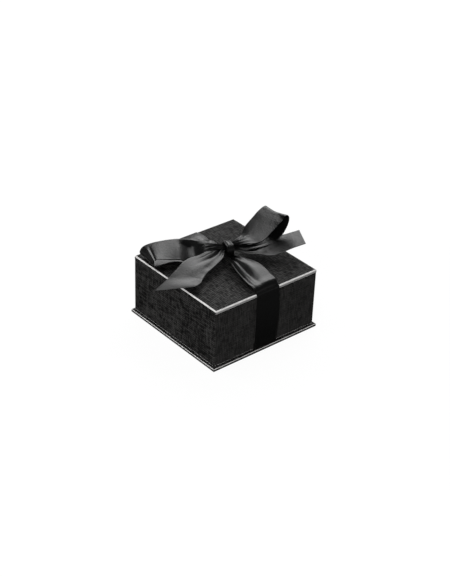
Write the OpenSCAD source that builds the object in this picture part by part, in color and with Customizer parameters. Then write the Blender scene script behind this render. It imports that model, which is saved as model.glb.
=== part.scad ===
// Jewelry gift box: a full-depth lift-off lid with a tied satin bow, standing on a
// flanged base that carries an inner tray and a lift-out velvet pad.
//
// +Z is up, and the origin is in the middle of the underside of the base.
// The front, where the ribbon runs down the wall, faces -Y.

/* [Lid] */
// Outside width of the lid, across the ribbon (mm)
lid_w = 90; // [70:1:130]
// Outside depth of the lid, along the ribbon (mm)
lid_d = 90; // [70:1:130]
// Height of the lid from its rim to its top (mm)
lid_h = 44.2; // [40:0.2:70]
// Thickness of the lid's greyboard (mm)
lid_board = 2; // [1.4:0.1:2.6]
// How far the top board's front and back edges stand proud of the walls (mm)
top_lip = 0.3; // [0:0.05:0.6]
// Radius of the covered edges round the top of the lid (mm)
lid_edge_r = 1; // [0.5:0.05:1.1]
// Radius of the lid's upright edges and of its rim (mm)
lid_corner_r = 0.6; // [0.5:0.05:0.7]
// How far the covering paper is turned in behind the rim (mm)
lid_turn_in = 14; // [8:0.5:18]

/* [Base] */
// How far the base board stands out around the lid (mm)
flange = 1.75; // [0.8:0.05:4]
// Thickness of the base board, without its paper (mm)
base_board_t = 1.7; // [1.2:0.1:3]
// Radius of the covered edges of the base (mm)
base_edge_r = 0.4; // [0.3:0.05:0.6]
// Width of the paper turned over the upper face of the base (mm)
base_turn_in = 14; // [8:0.5:18]

/* [Tray] */
// Height of the tray above the base (mm)
tray_h = 35; // [28:0.5:38]
// Thickness of the tray's greyboard (mm)
tray_board = 1.5; // [1:0.1:2]
// Gap all round between the tray and the inside of the lid (mm)
tray_gap = 0.9; // [0.8:0.05:1.5]

/* [Paper] */
// Thickness of the covering and lining papers (mm)
paper_t = 0.2; // [0.15:0.01:0.25]
// Thickness of the gummed tape that stays the corners (mm)
stay_t = 0.15; // [0.1:0.01:0.2]
// Length of each leg of a corner stay (mm)
stay_leg = 10; // [6:0.5:14]

/* [Lid cushion] */
// Thickness of the foam glued under the lid's ceiling (mm)
cushion_foam_t = 3; // [2:0.1:4]
// Thickness of the satin over the cushion (mm)
cushion_satin_t = 0.3; // [0.2:0.05:0.4]
// Gap all round between the cushion and the lid's lining (mm)
cushion_gap = 1; // [0.5:0.1:3]
// Radius of the cushion's edges (mm)
cushion_edge_r = 1.2; // [0.6:0.1:1.6]

/* [Pad] */
// Height of the pad above the tray's floor (mm)
pad_h = 22; // [16:0.5:24]
// Gap all round between the pad and the tray (mm)
pad_gap = 0.3; // [0.25:0.05:0.6]
// Thickness of the velvet (mm)
velvet_t = 0.5; // [0.4:0.05:0.7]
// Thickness of the card under the foam (mm)
pad_card_t = 1; // [0.8:0.1:1.5]
// Radius of the pad's upper edges (mm)
pad_edge_r = 2.4; // [1.5:0.1:3]
// Length of the ring slit (mm)
ring_slit_l = 26; // [18:1:32]
// Depth of the ring slit (mm)
ring_slit_depth = 12; // [8:0.5:14]
// Length of each earring slit (mm)
earring_slit_l = 5; // [3:0.5:8]
// Distance from the middle of the pad to each earring slit (mm)
earring_slit_x = 24; // [20:0.5:27]
// Length of each chain slit at the back corners (mm)
chain_slit_l = 13; // [8:0.5:16]
// Width of every slit (mm)
slit_w = 1; // [0.8:0.1:1.4]

/* [Ribbon] */
// Width of the satin ribbon (mm)
ribbon_w = 20; // [16:0.5:24]
// Thickness of the ribbon (mm)
ribbon_t = 0.4; // [0.3:0.05:0.5]
// Length of the ribbon ends glued inside the lid (mm)
ribbon_tab = 12; // [8:0.5:16]
// How far the ribbon bows out from the front and back walls (mm)
ribbon_bulge = 0.9; // [0:0.1:2]
// Gap between the ribbon and the lid's edges that it is folded over (mm)
ribbon_ease = 0.05; // [0.03:0.01:0.1]
// Length of the slanting cut at the end of the left tail (mm)
tail_cut = 19; // [0:1:23]

/* [Hidden] */

$fn = 48;
eps = 0.01;

// Layers between a covered board's face and the paper's outer face.
skin = paper_t + stay_t;

// Base
base_w = lid_w + 2 * flange;
base_d = lid_d + 2 * flange;
base_h = base_board_t + 2 * paper_t;

// The lid's rim stands on the ribbon that is turned under it.
rim_z = base_h + ribbon_t;
lid_top = rim_z + lid_h;
wall_w = lid_w;
wall_d = lid_d - 2 * top_lip;
ceiling_z = lid_top - 2 * paper_t - lid_board;
top_board_z = lid_top - paper_t - lid_board;
lid_in_w = wall_w - 2 * (skin + lid_board + paper_t);
lid_in_d = wall_d - 2 * (skin + lid_board + paper_t);

// Tray
tray_w = lid_in_w - 2 * tray_gap;
tray_d = lid_in_d - 2 * tray_gap;
tray_rim_z = base_h + tray_h;
tray_in_w = tray_w - 2 * (skin + tray_board + paper_t);
tray_in_d = tray_d - 2 * (skin + tray_board + paper_t);
tray_board_z = base_h + paper_t;
tray_floor_z = tray_board_z + tray_board + paper_t;
tray_turn_under = 10;

// Pad
pad_w = tray_in_w - 2 * pad_gap;
pad_d = tray_in_d - 2 * pad_gap;
pad_top_z = tray_floor_z + pad_h;
velvet_turn_under = 9;

// Cushion
cushion_w = lid_in_w - 2 * cushion_gap;
cushion_d = lid_in_d - 2 * cushion_gap;
cushion_t = cushion_foam_t + 2 * cushion_satin_t;
cushion_z = ceiling_z - cushion_t;
satin_turn_over = 8;

linen_black = [0.16, 0.16, 0.16];
paper_black = [0.12, 0.12, 0.12];
board_grey = [0.55, 0.53, 0.5];
tape_brown = [0.62, 0.5, 0.36];
satin_black = [0.3, 0.3, 0.31];
velvet_black = [0.1, 0.1, 0.11];
foam_white = [0.9, 0.9, 0.86];

// ---------------------------------------------------------------- blocks and sheets

// A rectangle with round corners, centred.
module round_rect(w, h, r) {
    square([w - 2 * r, h], center = true);
    square([w, h - 2 * r], center = true);
    for (x = [-1, 1], y = [-1, 1])
        translate([x * (w / 2 - r), y * (h / 2 - r)])
            circle(r);
}

// A block centred in X and Y and standing on z = 0, every edge rounded. Its upright edges
// can have a radius of their own.
module soft_block(w, d, h, r, upright_r = -1) {
    translate([0, 0, h / 2])
        intersection() {
            linear_extrude(h, center = true)
                round_rect(w, d, upright_r < 0 ? r : upright_r);
            rotate([90, 0, 0])
                linear_extrude(d + 1, center = true)
                    round_rect(w, h, r);
            rotate([90, 0, 90])
                linear_extrude(w + 1, center = true)
                    round_rect(d, h, r);
        }
}

// A block centred in X and Y, between two heights.
module block(w, d, z0, z1) {
    translate([-w / 2, -d / 2, z0])
        cube([w, d, z1 - z0]);
}

// A straight wall of board with its outer face at the given distance from the middle.
// side turns it to the front (0), right (90), back (180) or left (270).
module wall_board(side, outer, length, thickness, z0, z1) {
    rotate([0, 0, side])
        translate([-length / 2, -outer, z0])
            cube([length, thickness, z1 - z0]);
}

// Four L-shaped strips of tape folded round the outer corners of a box of boards.
module corner_stays(w, d, z0, z1) {
    difference() {
        translate([0, 0, z0])
            linear_extrude(z1 - z0)
                round_rect(w + 2 * stay_t, d + 2 * stay_t, stay_t);
        block(w, d, z0 - 1, z1 + 1);
        block(w - 2 * stay_leg, d + 1, z0 - 1, z1 + 1);
        block(w + 1, d - 2 * stay_leg, z0 - 1, z1 + 1);
    }
}

// ---------------------------------------------------------------- base

module base_board() {
    color(board_grey)
        block(base_w - 2 * paper_t, base_d - 2 * paper_t, paper_t, base_h - paper_t);
}

// Linen paper under the base, round its edges and turned in on its upper face.
module base_wrap() {
    color(linen_black)
        difference() {
            soft_block(base_w, base_d, base_h, base_edge_r);
            block(base_w - 2 * paper_t, base_d - 2 * paper_t, paper_t, base_h - paper_t);
            block(base_w - 2 * base_turn_in, base_d - 2 * base_turn_in, paper_t, base_h + 1);
        }
}

// ---------------------------------------------------------------- tray

module tray_floor_board() {
    side = 2 * (skin + tray_board);
    color(board_grey)
        block(tray_w - side, tray_d - side, tray_board_z, tray_board_z + tray_board);
}

module tray_wall_x(side) {
    color(board_grey)
        wall_board(side, tray_w / 2 - skin, tray_d - 2 * skin, tray_board,
            tray_board_z, tray_rim_z - paper_t);
}

module tray_wall_y(side) {
    color(board_grey)
        wall_board(side, tray_d / 2 - skin, tray_w - 2 * (skin + tray_board), tray_board,
            tray_board_z, tray_rim_z - paper_t);
}

module tray_wall_front() { tray_wall_y(0); }
module tray_wall_back() { tray_wall_y(180); }
module tray_wall_left() { tray_wall_x(270); }
module tray_wall_right() { tray_wall_x(90); }

module tray_corner_stays() {
    color(tape_brown)
        corner_stays(tray_w - 2 * skin, tray_d - 2 * skin, tray_board_z, tray_rim_z - paper_t);
}

// Paper up the outside of the tray, over its rim and down to the floor, with its lower
// edge turned under the tray.
module tray_wrap() {
    color(paper_black)
        difference() {
            translate([0, 0, base_h])
                soft_block(tray_w, tray_d, tray_h, skin);
            block(tray_in_w, tray_in_d, tray_board_z + tray_board, tray_rim_z + 1);
            difference() {
                block(tray_w - 2 * paper_t, tray_d - 2 * paper_t,
                    tray_board_z, tray_rim_z - paper_t);
                block(tray_in_w + 2 * paper_t, tray_in_d + 2 * paper_t,
                    tray_board_z + tray_board, tray_rim_z);
            }
            block(tray_w - 2 * tray_turn_under, tray_d - 2 * tray_turn_under,
                base_h - 1, tray_rim_z);
        }
}

module tray_floor_lining() {
    color(paper_black)
        block(tray_in_w, tray_in_d, tray_floor_z - paper_t, tray_floor_z);
}

// ---------------------------------------------------------------- pad

// The cuts that hold a ring, a pair of earrings and a chain, open at the top.
module pad_slits() {
    slit = function (l, depth) [l, slit_w, depth + 1];
    translate([0, 0, pad_top_z + 1]) {
        translate(-[ring_slit_l, slit_w, 2 * (ring_slit_depth + 1)] / 2)
            cube(slit(ring_slit_l, ring_slit_depth));
        for (side = [-1, 1]) {
            translate([side * earring_slit_x, 0, 0])
                translate(-[earring_slit_l, slit_w, 2 * (ring_slit_depth + 1)] / 2)
                    cube(slit(earring_slit_l, ring_slit_depth));
            translate([side * (pad_w / 2 - chain_slit_l), pad_d / 2 - chain_slit_l, 0])
                rotate([0, 0, -side * 45])
                    translate(-[chain_slit_l, slit_w, 2 * (ring_slit_depth + 1)] / 2)
                        cube(slit(chain_slit_l, ring_slit_depth));
        }
    }
}

module pad_card() {
    color(board_grey)
        block(pad_w - 2 * velvet_t, pad_d - 2 * velvet_t,
            tray_floor_z + velvet_t, tray_floor_z + velvet_t + pad_card_t);
}

// The foam's own outline, with its lower edges kept square where it stands on the card.
module pad_core(z0) {
    r = pad_edge_r - velvet_t;
    h = pad_top_z - velvet_t - z0;
    intersection() {
        translate([0, 0, z0 - 2 * r])
            soft_block(pad_w - 2 * velvet_t, pad_d - 2 * velvet_t, h + 2 * r, r);
        block(pad_w, pad_d, z0, pad_top_z);
    }
}

module pad_foam() {
    color(foam_white)
        difference() {
            pad_core(tray_floor_z + velvet_t + pad_card_t);
            pad_slits();
        }
}

// Velvet over the top and sides of the pad, turned under its card.
module pad_velvet() {
    card_top = tray_floor_z + velvet_t + pad_card_t;
    color(velvet_black)
        difference() {
            intersection() {
                translate([0, 0, tray_floor_z - 2 * pad_edge_r])
                    soft_block(pad_w, pad_d, pad_h + 2 * pad_edge_r, pad_edge_r);
                block(pad_w, pad_d, tray_floor_z, pad_top_z);
            }
            pad_core(card_top);
            block(pad_w - 2 * velvet_t, pad_d - 2 * velvet_t,
                tray_floor_z + velvet_t, card_top + eps);
            block(pad_w - 2 * velvet_turn_under, pad_d - 2 * velvet_turn_under,
                tray_floor_z - 1, card_top);
            pad_slits();
        }
}

// ---------------------------------------------------------------- lid

// A block whose upper edges have their own radius, between two heights.
module crowned_block(w, d, z0, z1, r, upright_r) {
    intersection() {
        translate([0, 0, z0 - 2 * r])
            soft_block(w, d, z1 - z0 + 2 * r, r, upright_r);
        block(w, d, z0, z1);
    }
}

// The outline of the taped boards, with the edges round their top pressed round.
module lid_boards_outline() {
    crowned_block(lid_w - 2 * skin, lid_d - 2 * skin, rim_z + paper_t, lid_top - paper_t,
        lid_edge_r - skin, eps);
}

// The top board lies over the front and back walls and between the side walls.
module lid_top_board() {
    color(board_grey)
        intersection() {
            block(lid_w - 2 * (skin + lid_board), lid_d - 2 * skin,
                top_board_z, lid_top - paper_t);
            lid_boards_outline();
        }
}

module lid_wall_y(side) {
    color(board_grey)
        wall_board(side, wall_d / 2 - skin, wall_w - 2 * (skin + lid_board), lid_board,
            rim_z + paper_t, top_board_z);
}

module lid_wall_x(side) {
    color(board_grey)
        intersection() {
            wall_board(side, wall_w / 2 - skin, wall_d - 2 * skin, lid_board,
                rim_z + paper_t, lid_top - paper_t);
            lid_boards_outline();
        }
}

module lid_wall_front() { lid_wall_y(0); }
module lid_wall_back() { lid_wall_y(180); }
module lid_wall_left() { lid_wall_x(270); }
module lid_wall_right() { lid_wall_x(90); }

module lid_corner_stays() {
    color(tape_brown)
        corner_stays(wall_w - 2 * skin, wall_d - 2 * skin,
            rim_z + paper_t, top_board_z - eps);
}

// The lid's covered outline: walls, and the slightly larger edge of the top board.
module lid_outline() {
    slab = lid_board + paper_t + lid_corner_r / 2;
    intersection() {
        translate([0, 0, rim_z])
            soft_block(wall_w, wall_d, lid_h + 2 * lid_corner_r, lid_corner_r);
        crowned_block(wall_w, wall_d, rim_z, lid_top, lid_edge_r, lid_corner_r);
    }
    intersection() {
        translate([0, 0, lid_top - slab])
            soft_block(lid_w, lid_d, slab + 2 * lid_corner_r, lid_corner_r);
        crowned_block(lid_w, lid_d, rim_z, lid_top, lid_edge_r, lid_corner_r);
    }
}

// The room that the taped boards take up behind the paper.
module lid_board_room() {
    translate([0, 0, rim_z + paper_t])
        linear_extrude(top_board_z - rim_z - paper_t)
            round_rect(wall_w - 2 * paper_t, wall_d - 2 * paper_t, stay_t);
    crowned_block(lid_w - 2 * paper_t, lid_d - 2 * paper_t, top_board_z - stay_t,
        lid_top - paper_t, lid_edge_r - paper_t, stay_t);
}

// Linen paper over the top, down the walls, under the rim and turned in behind it.
module lid_wrap() {
    color(linen_black)
        difference() {
            lid_outline();
            difference() {
                lid_board_room();
                block(lid_in_w + 2 * paper_t, lid_in_d + 2 * paper_t,
                    rim_z, rim_z + lid_turn_in);
            }
            block(lid_in_w, lid_in_d, rim_z - 1, rim_z + lid_turn_in + 1);
        }
}

// Paper inside the lid, from the ceiling down to the edge of the turn-in.
module lid_lining() {
    color(paper_black)
        difference() {
            block(lid_in_w + 2 * paper_t, lid_in_d + 2 * paper_t,
                rim_z + lid_turn_in, top_board_z);
            block(lid_in_w, lid_in_d, rim_z, ceiling_z);
        }
}

module lid_cushion_foam() {
    color(foam_white)
        translate([0, 0, cushion_z + cushion_satin_t])
            soft_block(cushion_w - 2 * cushion_satin_t, cushion_d - 2 * cushion_satin_t,
                cushion_foam_t, cushion_edge_r - cushion_satin_t);
}

// Satin under and round the foam, turned over its upper face.
module lid_cushion_satin() {
    color(satin_black)
        difference() {
            translate([0, 0, cushion_z])
                soft_block(cushion_w, cushion_d, cushion_t, cushion_edge_r);
            lid_cushion_foam();
            block(cushion_w - 2 * satin_turn_over, cushion_d - 2 * satin_turn_over,
                ceiling_z - cushion_t / 2, ceiling_z + 1);
        }
}

// ---------------------------------------------------------------- ribbon

// A ribbon is swept along stations. A station is its middle, the direction across the
// ribbon, the share of the full width that shows there (less where it is gathered), the
// height of the arch across it, and how far its right edge is cut back.
ribbon_steps = 4;
ribbon_cells = 6;

function unit(v) = v / norm(v);
function across_at(s) = [s[3], s[4], s[5]];
function middle_at(s) = [s[0], s[1], s[2]];

// One step of the smooth curve through four stations.
function blend(a, b, c, d, t) =
    (2 * b + (c - a) * t + (2 * a - 5 * b + 4 * c - d) * t * t
        + (3 * b - a - 3 * c + d) * t * t * t) / 2;

function smooth(rows) =
    let (n = len(rows) - 1)
    [
        for (i = [0 : n - 1], k = [0 : ribbon_steps - 1])
            blend(
                i == 0 ? 2 * rows[0] - rows[1] : rows[i - 1], rows[i], rows[i + 1],
                i == n - 1 ? 2 * rows[n] - rows[n - 1] : rows[i + 2], k / ribbon_steps),
        rows[n]
    ];

function heading(rows, i, closed) =
    let (n = len(rows))
    closed
        ? middle_at(rows[(i + 1) % n]) - middle_at(rows[(i + n - 1) % n])
        : middle_at(rows[min(i + 1, n - 1)]) - middle_at(rows[max(i - 1, 0)]);

// The width that shows. Where it is gathered small, a wider ribbon is only gathered more.
function shown_width(share) =
    share * (bow_ribbon + (ribbon_w - bow_ribbon) * share * share);

// The points round the ribbon's section at one station: its upper face, then its lower.
function section(rows, i, t, closed) =
    let (
        s = rows[i],
        along = unit(heading(rows, i, closed)),
        raw = across_at(s),
        across = unit(raw - along * (raw * along)),
        up = cross(along, across)
    )
    [
        for (face = [1, -1], j = [0 : ribbon_cells])
            let (
                u = face * (2 * j / ribbon_cells - 1),
                back = s[8] * (u + 1) / 2
            )
            middle_at(s) + across * (u * shown_width(s[6]) / 2)
                + up * ((1 - u * u) * s[7] + face * t / 2) - along * back
    ];

// A ribbon of thickness t through the stations.
module ribbon(rows, t = ribbon_t, closed = false) {
    n = len(rows);
    m = 2 * (ribbon_cells + 1);
    points = [for (i = [0 : n - 1]) each section(rows, i, t, closed)];
    sides = [
        for (i = [0 : closed ? n - 1 : n - 2], j = [0 : m - 1])
            let (
                a = i * m + j,
                b = i * m + (j + 1) % m,
                c = (i + 1) % n * m + (j + 1) % m,
                d = (i + 1) % n * m + j
            )
            each [[a, b, c], [a, c, d]]
    ];
    ends = closed ? [] : [
        for (j = [0 : ribbon_cells - 1])
            let (a = j, b = j + 1, c = m - 2 - j, d = m - 1 - j, last = (n - 1) * m)
            each [
                [a, d, b], [b, d, c],
                [last + a, last + b, last + d], [last + b, last + c, last + d]
            ]
    ];
    polyhedron(points, concat(sides, ends), convexity = 8);
}

// The bow is laid out for a lid of this width and depth and a ribbon of this width. Its
// reach to the left and right follows the lid, its height follows the ribbon, and its
// spread forward and back follows the gathered ribbon, which widens half as much.
bow_lid = 90;
bow_ribbon = 20;
bow_rise = ribbon_w / bow_ribbon;
bow_spread = (1 + bow_rise) / 2;

function placed(s, y) = [
    s[0] * lid_w / bow_lid, y, lid_top + s[2] * bow_rise,
    s[3], s[4], s[5], s[6], s[7], len(s) > 8 ? s[8] : 0
];

// A band reaches from the lid's edge to the knot, and the loops and tails spread round it.
function on_lid(rows) = [for (s = rows) placed(s, s[1] * lid_d / bow_lid)];
function on_bow(rows) = [
    for (s = rows)
        placed(s, knot_middle[1] * lid_d / bow_lid + (s[1] - knot_middle[1]) * bow_spread)
];

// Stations of a band from its glued end inside the lid, round the rim, up the wall and
// over the lid's edge. front is -1 at the front and 1 at the back.
function band_wall(front) =
    let (
        half = ribbon_t / 2,
        inner = lid_in_d / 2 - half - ribbon_ease,
        outer = wall_d / 2 + half + ribbon_ease,
        low = rim_z - half,
        fold_y = lid_d / 2 - lid_edge_r,
        fold_z = lid_top - lid_edge_r,
        fold_r = lid_edge_r + half + ribbon_ease,
        steps = 8,
        station = function (y, z) [0, front * y, z, front, 0, 0, 1, 0, 0]
    )
    [
        station(inner, rim_z + ribbon_tab),
        station(inner, rim_z + ribbon_tab / 2),
        station(inner, low + half),
        station(inner + half, low),
        station(outer - half, low),
        station(outer, low + half),
        for (k = [1 : steps - 1])
            let (share = k / steps)
            station(
                outer + (fold_y + fold_r - outer) * share + ribbon_bulge * sin(180 * share),
                low + (top_board_z - low) * share),
        for (a = [0 : 30 : 90])
            station(fold_y + fold_r * cos(a), fold_z + fold_r * sin(a))
    ];

// The stretch of a band that arches over the top to the knot.
band_front_arch = [
    [0, -40, 2.1, -1, 0, 0, 1, 0.8],
    [0.6, -32, 4.2, -1, -0.04, -0.03, 1, 1.6],
    [1.6, -22, 5.6, -1, -0.06, 0, 0.94, 2],
    [2.6, -12, 5.6, -1, -0.08, 0.05, 0.7, 1.4],
    [3.6, -4, 4.2, -1, 0, 0, 0.4, 0.5],
    [4.2, 2.4, 3.2, -1, 0, 0, 0.34, 0.3]
];

band_back_arch = [
    [0, 40, 1.6, 1, 0, 0, 1, 0.6],
    [0.8, 32, 2.8, 1, 0, -0.04, 1, 1],
    [2.2, 23, 3.4, 1, 0, -0.04, 0.85, 1.2],
    [3.6, 15, 3.6, 1, 0, 0, 0.6, 0.8],
    [4.2, 9, 3.4, 1, 0, 0, 0.4, 0.4],
    [4.4, 3.2, 3.2, 1, 0, 0, 0.34, 0.3]
];

loop_right = [
    [5.4, 3, 10.7, 0, 1, 0, 0.16, 0.2],
    [10, 2.2, 10.9, 0, 1, 0, 0.26, 0.4],
    [16.5, 1.5, 11.4, -0.1, 1, -0.12, 0.62, 0.8],
    [24, 0.2, 13.6, -0.22, 1, 0, 0.96, 0.8],
    [32.5, -0.4, 19.4, -0.27, 1, 0.03, 1, 0.5],
    [38.8, -0.8, 24.2, -0.28, 1, 0.02, 1, 0.2],
    [43.6, -1, 26.2, -0.28, 1, 0.02, 1, 0],
    [45.6, -1.2, 23.8, -0.26, 1, 0.02, 1, 0],
    [44.2, -1.2, 18.6, -0.25, 1, 0, 1, 0.1],
    [40, -1.2, 13.2, -0.22, 1, 0, 1, 0.3],
    [32.5, -0.6, 8.8, -0.2, 1, 0, 0.95, 0.6],
    [20, 0.8, 7.2, -0.1, 1, 0, 0.6, 0.6],
    [10, 2.6, 8.6, 0, 1, 0, 0.3, 0.4],
    [5.4, 3, 9, 0, 1, 0, 0.16, 0.2]
];

loop_left = [
    [3.4, 2.8, 10.6, -0.2, -1, 0, 0.16, 0.2],
    [-1.5, 4.9, 10.8, -0.3, -0.95, 0, 0.26, 0.6],
    [-8, 9.4, 11, -0.35, -0.9, -0.1, 0.46, 0.9],
    [-18, 15.6, 10.2, -0.42, -0.82, -0.3, 0.9, 0.8],
    [-29, 22, 10, -0.46, -0.82, -0.26, 1, 0.6],
    [-38.5, 27.5, 9.8, -0.32, -0.92, -0.1, 1, 0.2],
    [-43.4, 29.8, 8.2, -0.15, -1, 0.02, 1, 0],
    [-45.2, 30, 5, -0.14, -1, 0.02, 1, 0],
    [-42.4, 28.4, 1.8, -0.2, -1, 0, 1, 0.1],
    [-32, 23, 1.4, -0.35, -0.95, 0, 1, 0.2],
    [-19, 16.5, 2.4, -0.4, -0.9, 0, 0.9, 0.4],
    [-8, 9.6, 5, -0.3, -0.95, 0, 0.52, 0.5],
    [-1.5, 4.9, 7.3, -0.3, -0.95, 0, 0.26, 0.5],
    [3.4, 2.8, 7.8, -0.2, -1, 0, 0.16, 0.2]
];

// The last number of a station is its share of the slanting cut.
tail_left = [
    [3.4, 2.6, 9.2, 0.2, -1, 0, 0.14, 0.1, 0],
    [-1.5, 2.6, 9, 0.3, -1, 0, 0.26, 0.4, 0],
    [-8, 0.4, 8, 0.32, -1, 0, 0.56, 0.5, 0],
    [-16.6, -1.1, 7.4, 0.3, -0.95, -0.08, 0.72, 0.5, 0],
    [-27.6, -2.4, 7.4, 0.24, -0.94, -0.24, 0.9, 0.3, 0],
    [-38.2, -6.4, 5.8, 0.24, -0.95, -0.22, 0.96, 0.1, 0.2],
    [-48, -9.6, 3, 0.24, -0.95, -0.22, 1, 0, 0.6],
    [-60, -11.2, -2.8, 0.24, -0.95, -0.22, 1, 0, 1]
];

tail_right = [
    [5.4, 3, 7.7, 0.3, 0.8, -0.2, 0.14, 0.2],
    [9.6, 1.2, 6.8, 0.35, 0.8, -0.25, 0.2, 0.3],
    [16.5, -4.6, 4.2, 0.45, 0.75, -0.38, 0.5, 0.4],
    [26.5, -10.2, 4.8, 0.5, 0.8, -0.2, 0.85, 0.4],
    [34, -14.2, 8, 0.52, 0.84, -0.05, 1, 0.3],
    [42, -19, 11.6, 0.54, 0.84, 0, 1, 0.1],
    [50, -23.4, 14.4, 0.54, 0.84, 0, 1, 0]
];

// The knot is the ribbon gathered double and wound once round the middle of the bow.
knot_middle = [4.5, 3, 9.2];
knot_reach_y = 4.2;
knot_reach_z = 3.7;
knot_wrap_t = 1;
knot_turn = -20; // degrees, so that it lies square to the loops
knot_stations = 24;

// A band's stations, from the wall and from its arch.
function band(front, arch) =
    let (wall = band_wall(front), n = len(wall))
    [
        for (i = [0 : n - 2]) wall[i],
        each smooth(concat([wall[n - 1]], on_lid(arch)))
    ];

// Stations with the last number turned from a share of the cut into millimetres.
function cut_back(rows, cut) = [
    for (s = rows)
        [for (i = [0 : 8]) i == 8 ? s[i] * cut : s[i]]
];

band_front_rows = band(-1, band_front_arch);
band_back_rows = band(1, band_back_arch);
loop_left_rows = smooth(on_bow(loop_left));
loop_right_rows = smooth(on_bow(loop_right));
tail_left_rows = smooth(cut_back(on_bow(tail_left), tail_cut));
tail_right_rows = smooth(on_bow(tail_right));
knot_at = [
    knot_middle[0] * lid_w / bow_lid, knot_middle[1] * lid_d / bow_lid,
    lid_top + knot_middle[2] * bow_rise
];
knot_rows = [
    for (i = [0 : knot_stations - 1])
        let (a = 360 * i / knot_stations, reach = knot_reach_y * cos(a))
        [
            knot_at[0] - reach * sin(knot_turn),
            knot_at[1] + reach * cos(knot_turn),
            knot_at[2] + knot_reach_z * sin(a),
            cos(knot_turn), sin(knot_turn), 0, 0.27 + 0.02 * sin(3 * a), 0.3, 0
        ]
];

module ribbon_band_front() { color(satin_black) ribbon(band_front_rows); }
module ribbon_band_back() { color(satin_black) ribbon(band_back_rows); }
module bow_knot() { color(satin_black) ribbon(knot_rows, t = knot_wrap_t, closed = true); }
module bow_loop_left() { color(satin_black) ribbon(loop_left_rows); }
module bow_loop_right() { color(satin_black) ribbon(loop_right_rows); }
module bow_tail_left() { color(satin_black) ribbon(tail_left_rows); }
module bow_tail_right() { color(satin_black) ribbon(tail_right_rows); }

// ---------------------------------------------------------------- assembly

base_board();
base_wrap();
tray_floor_board();
tray_wall_front();
tray_wall_back();
tray_wall_left();
tray_wall_right();
tray_corner_stays();
tray_wrap();
tray_floor_lining();
pad_card();
pad_foam();
pad_velvet();
lid_top_board();
lid_wall_front();
lid_wall_back();
lid_wall_left();
lid_wall_right();
lid_corner_stays();
lid_wrap();
lid_lining();
lid_cushion_foam();
lid_cushion_satin();
ribbon_band_front();
ribbon_band_back();
bow_knot();
bow_loop_left();
bow_loop_right();
bow_tail_left();
bow_tail_right();
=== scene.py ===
import math

import bpy
import bmesh
import numpy as np
from mathutils import Matrix, Vector


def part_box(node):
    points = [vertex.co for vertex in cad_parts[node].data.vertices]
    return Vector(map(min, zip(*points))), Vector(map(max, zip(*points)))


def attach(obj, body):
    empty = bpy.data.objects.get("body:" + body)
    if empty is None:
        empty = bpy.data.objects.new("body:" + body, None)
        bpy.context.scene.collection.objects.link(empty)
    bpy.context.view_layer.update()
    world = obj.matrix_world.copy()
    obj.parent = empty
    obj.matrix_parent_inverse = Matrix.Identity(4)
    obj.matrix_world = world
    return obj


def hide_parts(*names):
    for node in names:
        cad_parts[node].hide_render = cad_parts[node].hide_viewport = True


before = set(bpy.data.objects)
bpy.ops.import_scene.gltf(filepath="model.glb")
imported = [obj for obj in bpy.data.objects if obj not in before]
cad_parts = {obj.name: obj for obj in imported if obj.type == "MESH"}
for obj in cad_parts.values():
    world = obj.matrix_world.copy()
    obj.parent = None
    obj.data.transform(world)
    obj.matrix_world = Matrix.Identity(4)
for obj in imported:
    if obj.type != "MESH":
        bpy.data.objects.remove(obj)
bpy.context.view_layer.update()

MM = 0.001
TINY = 1e-9
RIBBON_W = 20                # mm
scene = bpy.context.scene


# ------------------------------------------------------------------ camera

AZIMUTH, ELEVATION, ROLL = (math.radians(a) for a in (-40.7438, 32.0143, 2.1968))
LENS, SENSOR = 80.56, 36     # mm
DISTANCE = 0.9205            # metres from the camera to the point that it aims at
AIM_RIGHT, AIM_UP = 0.00133, 0.0215  # metres from the origin to it, in the picture


def place_camera():
    back = Vector((
        math.sin(AZIMUTH) * math.cos(ELEVATION),
        -math.cos(AZIMUTH) * math.cos(ELEVATION),
        math.sin(ELEVATION)))
    right = (-back).cross(Vector((0, 0, 1))).normalized()
    up = right.cross(-back)
    turned_right = math.cos(ROLL) * right + math.sin(ROLL) * up
    turned_up = math.cos(ROLL) * up - math.sin(ROLL) * right
    aim = AIM_RIGHT * turned_right + AIM_UP * turned_up
    data = bpy.data.cameras.new("camera")
    data.lens = LENS
    data.sensor_width = SENSOR
    data.clip_start = 10 * MM
    camera = bpy.data.objects.new("camera", data)
    turn = Matrix((turned_right, turned_up, back)).transposed().to_4x4()
    camera.matrix_world = Matrix.Translation(aim + DISTANCE * back) @ turn
    scene.collection.objects.link(camera)
    scene.camera = camera


# ------------------------------------------------------------------ node materials

# A noise's scale is in cells per metre, or per ribbon width for the ribbon's own weave,
# then come its detail and roughness. A span carries its first two numbers to its last two,
# or to 0 and 1. Greys are linear.

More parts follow.
